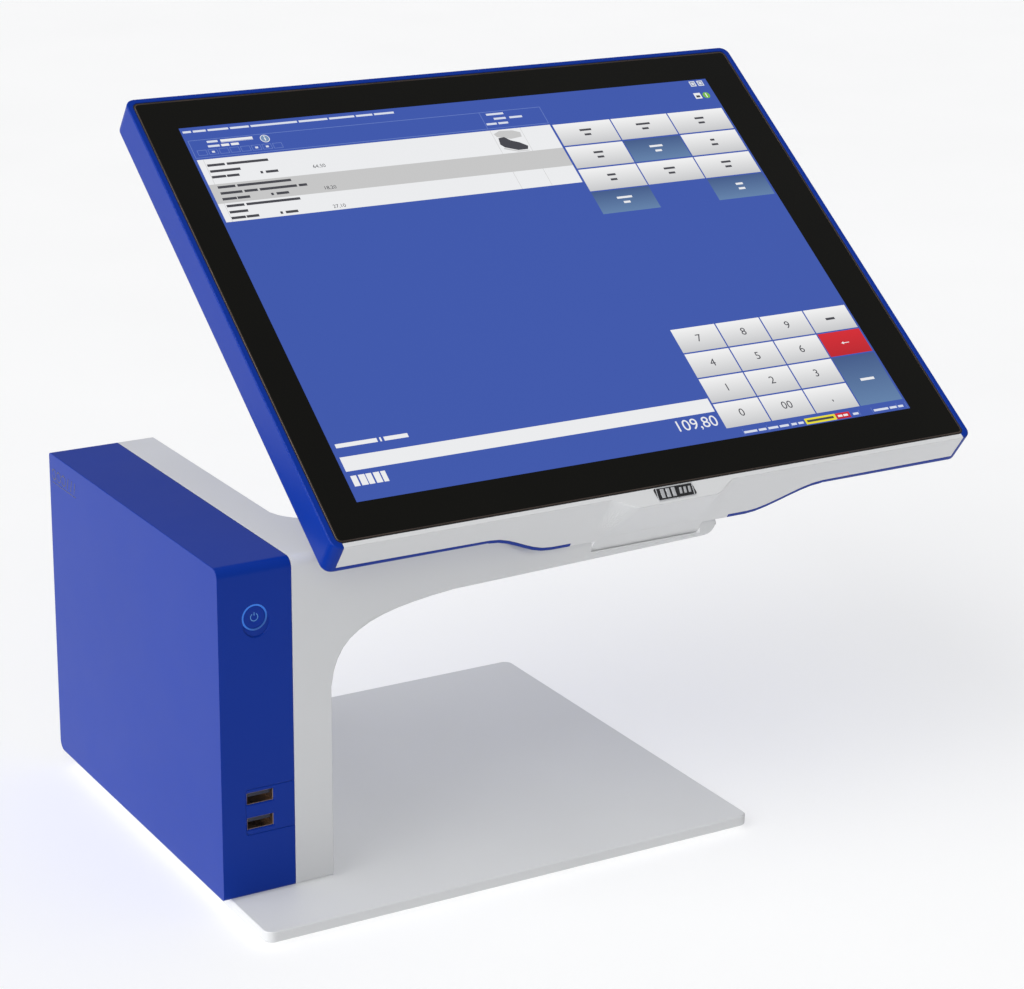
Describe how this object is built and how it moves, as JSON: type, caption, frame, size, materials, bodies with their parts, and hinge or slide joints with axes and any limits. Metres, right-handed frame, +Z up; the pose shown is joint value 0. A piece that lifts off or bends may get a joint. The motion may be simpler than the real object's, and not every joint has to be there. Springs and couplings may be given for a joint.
{
  "type": "point of sale terminal",
  "caption": "Touchscreen till terminal: a tilting display on a one-sided arm above a flat base plate, with a slim computer module beside the column.",
  "frame": {"origin": "centre of the bounding box's bottom face, at the level of the feet", "axes": "+X to the operator's right, +Y away from the operator, +Z up; the screen faces -Y and is tilted back"},
  "size_m": [0.3946, 0.2439, 0.3333],
  "materials": {
    "white_paint": "fine satin powder coat",
    "white_plastic": "fine satin moulded",
    "blue_plastic": "semi-gloss moulded",
    "black_glass": "black printed cover glass, polished",
    "rubber": "matte",
    "steel": "plated sheet",
    "black_plastic": "fine grain",
    "circuit_board": "green solder mask",
    "aluminium": "satin",
    "panel_body": "dark metallised frame",
    "brass": "ground",
    "badge_plate": "dark lacquered plate",
    "light_ring": "translucent light guide",
    "usb_blue": "moulded"
  },
  "bodies": {
    "stand": {"base_plate": "white_paint", "rubber_feet": "rubber", "base_screws": "steel", "foot_plate": "steel", "stand_shell": "white_paint", "column_side_plate": "steel", "side_plate_screws": "steel", "column_rear_cover": "white_plastic", "arm_rear_cover": "white_plastic", "arm_cover_screws": "steel", "hinge_anchor_left": "steel", "hinge_anchor_right": "steel", "anchor_screws": "steel", "hinge_shaft": "steel", "shaft_rings": "steel", "dock_socket": "black_plastic", "arm_cable": "black_plastic", "module_shell": "blue_plastic", "module_chassis": "steel", "module_screws": "steel", "mainboard": "circuit_board", "heatsink": "aluminium", "memory_module": "circuit_board", "solid_state_drive": "aluminium", "coin_battery": "steel", "dock_plug": "black_plastic", "usb_panel": "blue_plastic", "usb_board": "circuit_board", "usb_shell_upper": "steel", "usb_shell_lower": "steel", "usb_tongue_upper": "usb_blue", "usb_tongue_lower": "usb_blue", "button_board": "circuit_board", "tact_switch": "black_plastic", "light_ring": "light_ring", "io_panel": "steel", "power_inlet": "black_plastic", "network_port": "steel", "rear_usb_port": "steel", "serial_port": "steel", "drawer_port": "black_plastic"},
    "button": {"power_button": "blue_plastic"},
    "head": {"head_shell": "blue_plastic", "bottom_cover": "white_plastic", "cover_glass": "black_glass", "glass_gasket": "rubber", "lcd_panel": "panel_body", "display_chassis": "steel", "driver_board": "circuit_board", "touch_board": "circuit_board", "hinge_bracket_left": "steel", "hinge_bracket_right": "steel", "friction_sleeve_left": "brass", "friction_sleeve_right": "brass", "bracket_screws": "steel", "head_screws": "steel", "speaker": "black_plastic", "head_cable": "black_plastic", "badge": "badge_plate"}
  },
  "joints": [
    {"name": "head_tilt", "type": "hinge", "parent": "stand", "child": "head", "pos_m": [0.02265, -0.07945, 0.1446], "axis": [1, 0, 0], "range_deg": [-31.3, 23.7]},
    {"name": "power_press", "type": "slide", "parent": "stand", "child": "button", "axis": [0, 1, 0], "range_m": [0, 0.0008], "stiffness_N_per_m": 2500, "springref_m": -0.0004}
  ]
}
